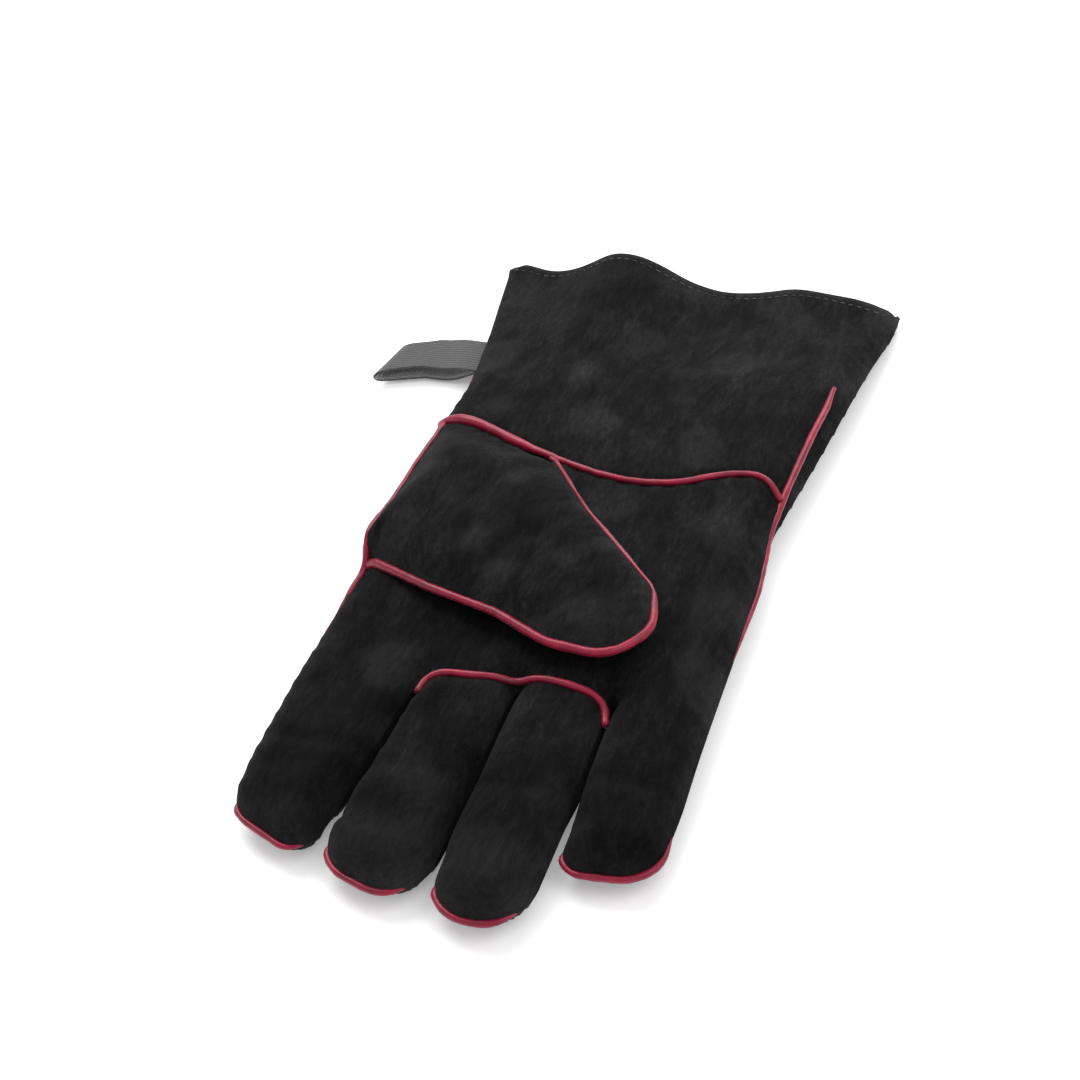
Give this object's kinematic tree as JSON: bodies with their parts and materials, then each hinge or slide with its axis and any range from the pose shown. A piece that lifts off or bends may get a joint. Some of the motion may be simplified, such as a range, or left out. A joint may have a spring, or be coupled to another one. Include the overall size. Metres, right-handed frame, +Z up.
{
  "type": "heat resistant glove",
  "caption": "Welted suede barbecue glove for the right hand, palm up, with a long open cuff, a lined hand, folding fingers and thumb, and a tape hang loop",
  "frame": {"origin": "on the table under the middle of the hand, on the back of the glove that it lies on", "axes": "+Z up out of the palm, -Y along the fingers, +Y out of the cuff, -X on the thumb's side"},
  "size_m": [0.2025, 0.338, 0.036],
  "materials": {
    "charcoal_suede": "soft napped split leather, slightly mottled",
    "red_welt": "bright red piping, satin",
    "cotton_lining": "brushed cotton fleece",
    "loop_tape": "woven grey tape",
    "embroidery": "satin stitch",
    "dark_thread": "matt sewing thread"
  },
  "bodies": {
    "hand": {"back_panel": "charcoal_suede", "palm_panel": "charcoal_suede", "thenar_panel": "charcoal_suede", "hand_lining": "cotton_lining", "fourchette_crotches": "charcoal_suede", "wrist_welt": "red_welt", "finger_base_welt": "red_welt", "thumb_side_welt": "red_welt", "little_side_welt": "red_welt"},
    "cuff": {"cuff_back": "charcoal_suede", "cuff_front": "charcoal_suede", "cuff_lining": "cotton_lining", "cuff_thumb_side_welt": "red_welt", "cuff_little_side_welt": "red_welt", "cuff_hem_stitching": "dark_thread", "back_emblem": "embroidery"},
    "hang_loop": {"hang_loop": "loop_tape"},
    "thumb": {"thumb_outer": "charcoal_suede", "thumb_inner": "charcoal_suede", "thumb_lining": "cotton_lining", "thumb_welt": "red_welt"},
    "index_base": {"index_base_back": "charcoal_suede", "index_base_front": "charcoal_suede", "index_fourchette": "charcoal_suede", "index_base_lining": "cotton_lining"},
    "index_tip": {"index_tip_back": "charcoal_suede", "index_tip_front": "charcoal_suede", "index_tip_lining": "cotton_lining", "index_tip_welt": "red_welt"},
    "middle_base": {"middle_base_back": "charcoal_suede", "middle_base_front": "charcoal_suede", "middle_fourchette": "charcoal_suede", "middle_base_lining": "cotton_lining"},
    "middle_tip": {"middle_tip_back": "charcoal_suede", "middle_tip_front": "charcoal_suede", "middle_tip_lining": "cotton_lining", "middle_tip_welt": "red_welt"},
    "ring_base": {"ring_base_back": "charcoal_suede", "ring_base_front": "charcoal_suede", "ring_fourchette": "charcoal_suede", "ring_base_lining": "cotton_lining"},
    "ring_tip": {"ring_tip_back": "charcoal_suede", "ring_tip_front": "charcoal_suede", "ring_tip_lining": "cotton_lining", "ring_tip_welt": "red_welt"},
    "little_base": {"little_base_back": "charcoal_suede", "little_base_front": "charcoal_suede", "little_fourchette": "charcoal_suede", "little_base_lining": "cotton_lining"},
    "little_tip": {"little_tip_back": "charcoal_suede", "little_tip_front": "charcoal_suede", "little_tip_lining": "cotton_lining", "little_tip_welt": "red_welt"}
  },
  "joints": [
    {"name": "wrist_fold", "type": "hinge", "parent": "hand", "child": "cuff", "pos_m": [0, 0.048, 0.02], "axis": [1, 0, 0], "range_deg": [0, 35]},
    {"name": "loop_swing", "type": "hinge", "parent": "cuff", "child": "hang_loop", "pos_m": [-0.0765, 0.097, 0.0094], "axis": [0, 1, 0], "range_deg": [0, 90]},
    {"name": "thumb_root_fold", "type": "hinge", "parent": "hand", "child": "thumb", "pos_m": [-0.017, 0.021, 0.036], "axis": [-0.62, -0.7846, 0], "range_deg": [0, 80]},
    {"name": "index_root_fold", "type": "hinge", "parent": "hand", "child": "index_base", "pos_m": [-0.052, -0.089, 0.02], "axis": [-1, 0, 0], "range_deg": [0, 80]},
    {"name": "index_middle_fold", "type": "hinge", "parent": "index_base", "child": "index_tip", "pos_m": [-0.052, -0.127, 0.02], "axis": [-1, 0, 0], "range_deg": [0, 80]},
    {"name": "middle_root_fold", "type": "hinge", "parent": "hand", "child": "middle_base", "pos_m": [-0.013, -0.089, 0.02], "axis": [-1, 0, 0], "range_deg": [0, 80]},
    {"name": "middle_middle_fold", "type": "hinge", "parent": "middle_base", "child": "middle_tip", "pos_m": [-0.013, -0.131, 0.02], "axis": [-1, 0, 0], "range_deg": [0, 80]},
    {"name": "ring_root_fold", "type": "hinge", "parent": "hand", "child": "ring_base", "pos_m": [0.022, -0.089, 0.02], "axis": [-1, 0, 0], "range_deg": [0, 80]},
    {"name": "ring_middle_fold", "type": "hinge", "parent": "ring_base", "child": "ring_tip", "pos_m": [0.022, -0.131, 0.02], "axis": [-1, 0, 0], "range_deg": [0, 80]},
    {"name": "little_root_fold", "type": "hinge", "parent": "hand", "child": "little_base", "pos_m": [0.055, -0.089, 0.02], "axis": [-1, 0, 0], "range_deg": [0, 80]},
    {"name": "little_middle_fold", "type": "hinge", "parent": "little_base", "child": "little_tip", "pos_m": [0.055, -0.122, 0.02], "axis": [-1, 0, 0], "range_deg": [0, 80]}
  ]
}
